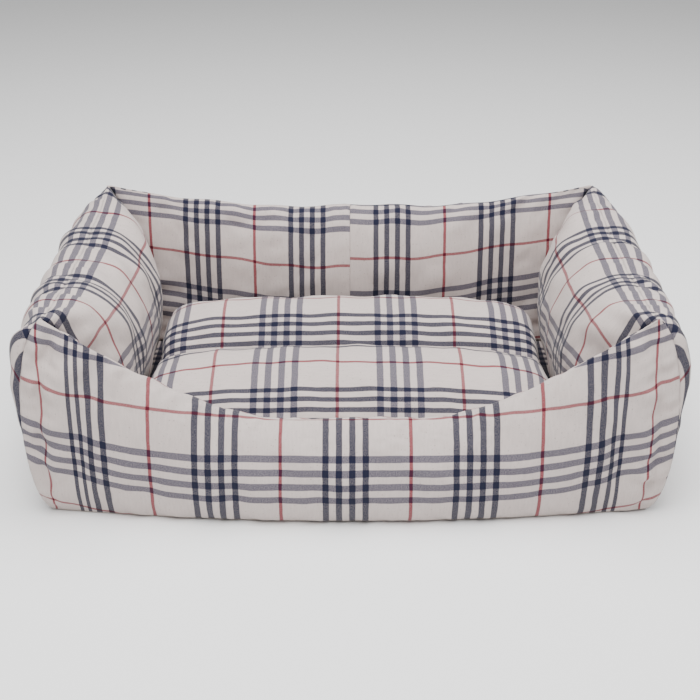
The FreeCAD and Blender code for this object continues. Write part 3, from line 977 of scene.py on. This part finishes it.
def make_zip(tape_cloth, nylon, thread):
    """Zip tapes with their topstitching, and two rows of coil teeth."""
    for side in ("upper", "lower"):
        low, high = (np.array(corner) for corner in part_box("zip_%s_tape" % side))
        x = np.linspace(low[0], high[0], 181)
        z = np.linspace(low[2], high[2], 7)
        across, up = np.meshgrid(x, z)
        wave = 0.12 * MM * np.sin(across * 160) * np.sin((up - low[2]) / (high[2] - low[2]) * math.pi)
        grid = np.stack([across, np.full(across.shape, high[1] - 0.2 * MM) + wave, up], axis=-1)
        tape = new_piece("zip_%s_tape_cloth" % side, grid.reshape(-1, 3), grid_faces(6, 180, True),
                         np.stack([across, up], axis=-1).reshape(-1, 2))
        thicken = tape.modifiers.new("tape_thickness", "SOLIDIFY")
        thicken.thickness = TAPE_THICKNESS
        thicken.offset = -1
        apply_all(tape)
        tape.data.materials.append(tape_cloth)
        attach(tape, "cushion")
        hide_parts("zip_%s_tape" % side)
        teeth_low, teeth_high = (np.array(corner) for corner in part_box("zip_%s_teeth" % side))
        count = int((teeth_high[0] - teeth_low[0]) / TOOTH_PITCH)
        first = teeth_low + np.array([0.2 * MM, 0, 0])
        if side == "lower":
            first = first + np.array([TOOTH_PITCH / 2, 0, 0])
            count -= 1
        last = np.array([first[0] + TOOTH_LENGTH, teeth_high[1], teeth_high[2]])
        teeth = row_of("zip_%s_coil" % side, first, last, TOOTH_PITCH, count, 0.3 * MM)
        teeth.data.materials.append(nylon)
        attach(teeth, "cushion")
        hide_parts("zip_%s_teeth" % side)
        for number, height in enumerate((0.22, 0.80)):
            line_z = blend(low[2], high[2], height if side == "upper" else 1 - height)
            start = np.array([low[0] + 1.5 * MM, high[1] - 0.1 * MM, line_z - 0.3 * MM])
            stitches = row_of("zip_%s_stitching_%d" % (side, number), start,
                              start + np.array([2.3, 0.4, 0.6]) * MM, TAPE_STITCH_PITCH,
                              TAPE_STITCHES, 0.18 * MM)
            stitches.data.materials.append(thread)
            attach(stitches, "cushion")


def valley_stitching(thread, line):
    """The quilting stitches that hold the valley between the cushion's two puffs."""
    start = np.array([-236 * MM, VALLEY[0] - 0.4 * MM, 0])
    stitches = row_of("cushion_quilting_thread", start, start + np.array([3.1, 0.8, 0.7]) * MM,
                      QUILT_STITCH_PITCH, QUILT_STITCHES, 0.2 * MM)
    points = coordinates(stitches)
    points[:, 2] += np.interp(points[:, 0], line[:, 0], line[:, 2]) + 0.4 * MM
    stitches.data.vertices.foreach_set("co", points.ravel())
    stitches.data.update()
    stitches.data.materials.append(thread)
    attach(stitches, "cushion")


def finish_cloth(piece, smooth=1):
    """Gives simulated cloth its thickness, inwards, and smooths its grid."""
    if smooth:
        finer = piece.modifiers.new("smooth", "SUBSURF")
        finer.levels = finer.render_levels = smooth
        finer.uv_smooth = "PRESERVE_BOUNDARIES"
    thicken = piece.modifiers.new("cloth_thickness", "SOLIDIFY")
    thicken.thickness = CLOTH
    thicken.offset = -1
    apply_all(piece)


def declare(piece, body, slot, *nodes):
    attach(piece, body)
    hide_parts(*nodes)


walls = make_walls()
make_stage()
check = woven_check()
panels = wall_cloth(walls, check)
cushion_top, cushion_points, cushion_flat, cushion_hold = cushion_cloth(check)

stuff([(piece, flat, hold) for piece, _, flat, hold in panels.values()]
      + [(cushion_top, cushion_flat, cushion_hold)])

REPLACED = {
    "outer_front_cloth": "outer_front_panel", "inner_front_cloth": "inner_front_panel",
    "outer_right_cloth": "outer_right_panel", "inner_right_cloth": "inner_right_panel",
    "outer_left_cloth": "outer_left_panel", "inner_left_cloth": "inner_left_panel",
    "outer_back_cloth": "outer_back_panel", "inner_back_cloth_right": "inner_back_panel_right",
    "inner_back_cloth_left": "inner_back_panel_left",
}
for name, (piece, lengths, flat, _) in panels.items():
    declare(piece, "bed", "checked_cotton", REPLACED[name])
    finish_cloth(piece)

declare(cushion_top, "cushion", "checked_cotton", "cushion_top_panel")
finish_cloth(cushion_top)
cushion_bottom, bottom_size = cushion_underside(check, cushion_points)
declare(cushion_bottom, "cushion", "checked_cotton", "cushion_bottom_panel")
finish_cloth(cushion_bottom, 0)

fleece = fleece_filling()
for name in walls:
    stuffing = wall_filling(walls, name)
    stuffing.data.materials.append(fleece)
    declare(stuffing, "bed", "polyester_filling", name + "_wall_filling")
for name, grid in (("front", cushion_points[:PUFF_ROWS + 1]), ("back", cushion_points[PUFF_ROWS:])):
    puff = puff_filling("cushion_%s_stuffing" % name, grid)
    puff.data.materials.append(fleece)
    declare(puff, "cushion", "polyester_filling", "cushion_%s_filling" % name)
pad = base_pad_filling()
pad.data.materials.append(fleece)
declare(pad, "bed", "polyester_filling", "base_pad")

canvas = plain_canvas("plain_weave_base_canvas", "#8F867F", "#B3AAA2", 1.5 * MM)
underside, underside_size = base_cloth(walls, canvas)
declare(underside, "bed", "base_cloth", "base_panel")
finish_cloth(underside, 0)
seat_cloth, seat_size = floor_cloth(check)
declare(seat_cloth, "bed", "checked_cotton", "floor_panel")
finish_cloth(seat_cloth, 0)

thread = sewing_thread()
make_zip(zip_tape_cloth(), moulded_nylon(), thread)
valley_stitching(thread, cushion_points[PUFF_ROWS])
zinc = cast_zinc()
for name in ("zip_end_stops", "zip_slider", "zip_pull"):
    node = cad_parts[name]
    node.data.materials.clear()
    node.data.materials.append(zinc)
